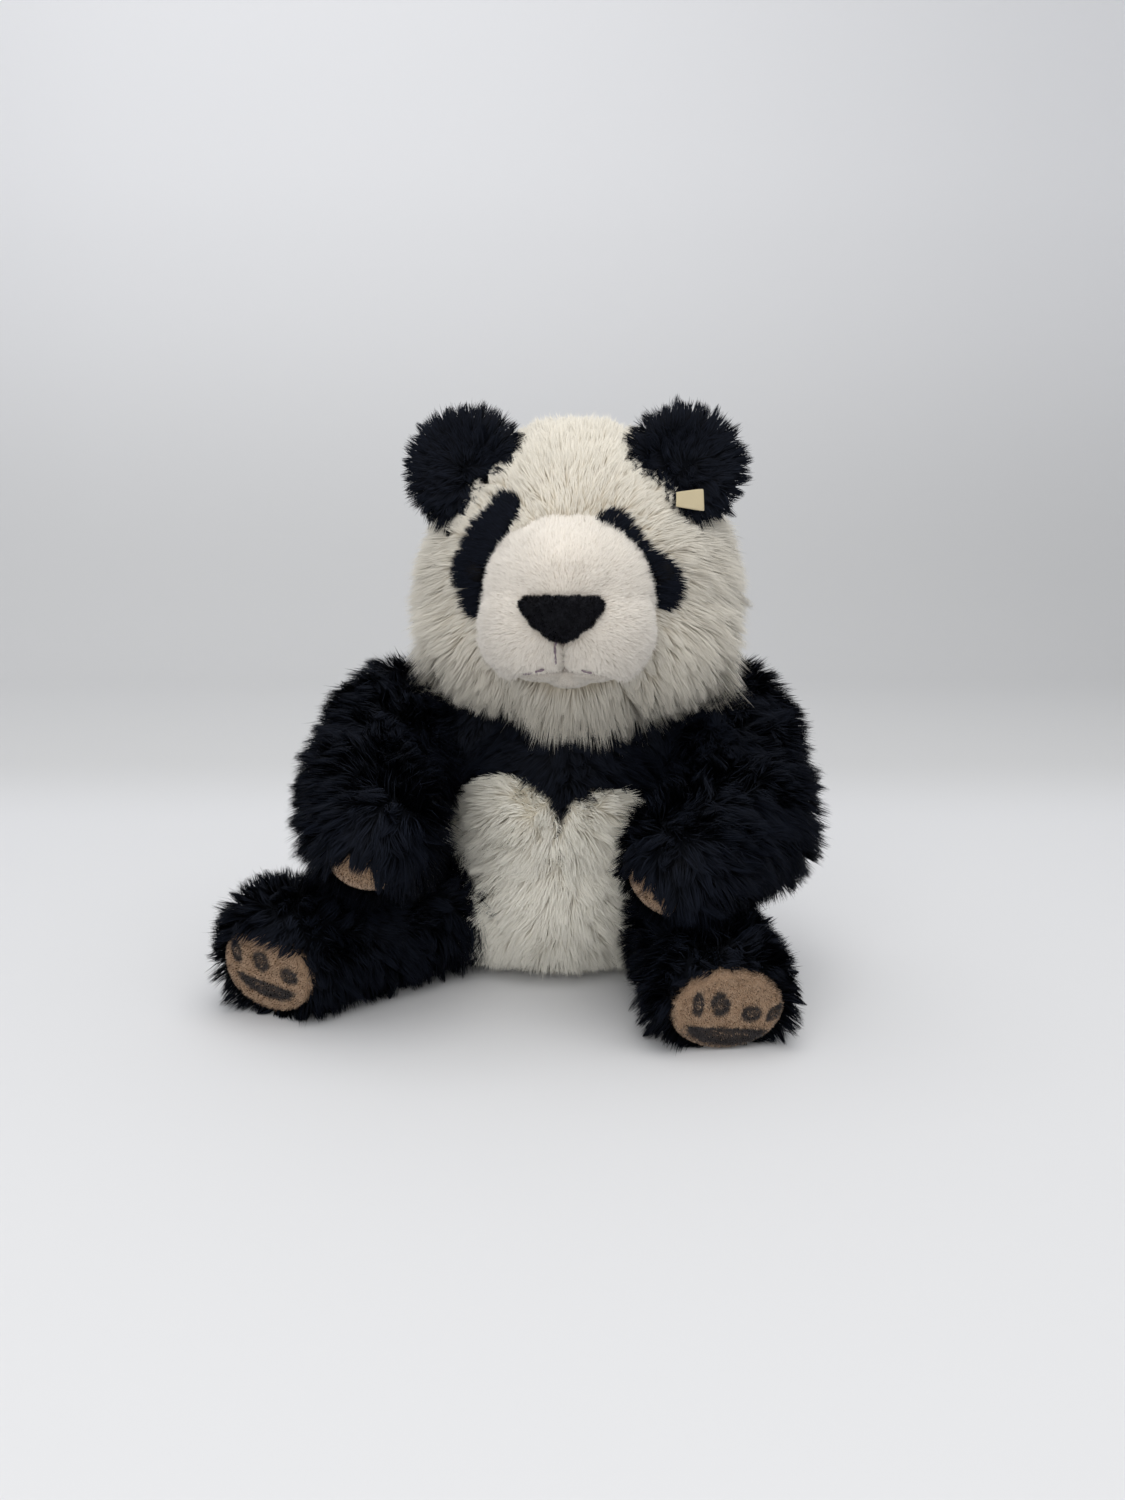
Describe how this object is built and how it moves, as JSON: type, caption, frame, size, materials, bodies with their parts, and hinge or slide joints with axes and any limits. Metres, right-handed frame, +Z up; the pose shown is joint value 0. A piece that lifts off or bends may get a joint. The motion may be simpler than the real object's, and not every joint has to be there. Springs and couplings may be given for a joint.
{
  "type": "plush panda",
  "caption": "Sitting soft-sewn plush panda with a large round head, domed muzzle, forward-reaching arms and splayed legs with printed soles.",
  "frame": {"origin": "on the floor, in the middle of the flat seat under the body", "axes": "+Z up, the toy's face looks along -Y, its own left side is +X"},
  "size_m": [0.2906, 0.2168, 0.293],
  "materials": {
    "white_plush": "long silky off-white pile",
    "short_white_plush": "short clipped off-white pile",
    "black_plush": "long black pile with a faint blue sheen",
    "nose_velour": "short black pile",
    "tan_velour": "short tan pile with airbrushed grey paw prints on the soles",
    "mouth_thread": "grey thread",
    "black_thread": "black sewing thread",
    "eye_plastic": "polished black",
    "washer_plastic": "moulded, unfinished",
    "label_cloth": "plain woven ribbon",
    "fibre_fill": "loose polyester fibre",
    "bag_cloth": "thin plain-weave cloth",
    "pellet_plastic": "small round pellets"
  },
  "bodies": {
    "torso": {"belly_panel": "white_plush", "lower_back_left": "white_plush", "lower_back_right": "white_plush", "yoke_front": "black_plush", "yoke_back": "black_plush", "seat_panel": "white_plush", "tail": "white_plush", "care_label": "label_cloth", "torso_stuffing": "fibre_fill", "pellet_bag": "bag_cloth", "pellets": "pellet_plastic", "neck_thread": "black_thread", "shoulder_thread_left": "black_thread", "shoulder_thread_right": "black_thread", "hip_thread_left": "black_thread", "hip_thread_right": "black_thread"},
    "head": {"head_side_left": "white_plush", "head_side_right": "white_plush", "forehead_gusset": "white_plush", "eye_patch_left": "black_plush", "eye_patch_right": "black_plush", "muzzle_cover": "short_white_plush", "chin_panel": "short_white_plush", "nose": "nose_velour", "mouth_stitching": "mouth_thread", "eye_left": "eye_plastic", "eye_right": "eye_plastic", "eye_washer_left": "washer_plastic", "eye_washer_right": "washer_plastic", "ear_left_front": "black_plush", "ear_left_back": "black_plush", "ear_right_front": "black_plush", "ear_right_back": "black_plush", "ear_label": "label_cloth", "head_stuffing": "fibre_fill"},
    "arm_left": {"arm_left_top_panel": "black_plush", "arm_left_under_panel": "black_plush", "arm_left_paw_pad": "tan_velour", "arm_left_stuffing": "fibre_fill"},
    "arm_right": {"arm_right_top_panel": "black_plush", "arm_right_under_panel": "black_plush", "arm_right_paw_pad": "tan_velour", "arm_right_stuffing": "fibre_fill"},
    "leg_left": {"leg_left_top_panel": "black_plush", "leg_left_under_panel": "black_plush", "leg_left_sole_pad": "tan_velour", "leg_left_stuffing": "fibre_fill"},
    "leg_right": {"leg_right_top_panel": "black_plush", "leg_right_under_panel": "black_plush", "leg_right_sole_pad": "tan_velour", "leg_right_stuffing": "fibre_fill"}
  },
  "joints": [
    {"name": "head_turn", "type": "hinge", "parent": "torso", "child": "head", "pos_m": [0.008, -0.01, 0.214], "axis": [0, 0, 1], "range_deg": [-25, 25]},
    {"name": "arm_left_lift", "type": "hinge", "parent": "torso", "child": "arm_left", "pos_m": [0.088, 0, 0.13], "axis": [-1, 0, 0], "range_deg": [0, 35]},
    {"name": "arm_right_lift", "type": "hinge", "parent": "torso", "child": "arm_right", "pos_m": [-0.088, 0, 0.13], "axis": [-1, 0, 0], "range_deg": [0, 35]},
    {"name": "leg_left_splay", "type": "hinge", "parent": "torso", "child": "leg_left", "pos_m": [0.062, -0.022, 0.036], "axis": [0, 0, 1], "range_deg": [0, 46]},
    {"name": "leg_right_splay", "type": "hinge", "parent": "torso", "child": "leg_right", "pos_m": [-0.062, -0.022, 0.036], "axis": [0, 0, -1], "range_deg": [-46, 6]}
  ]
}
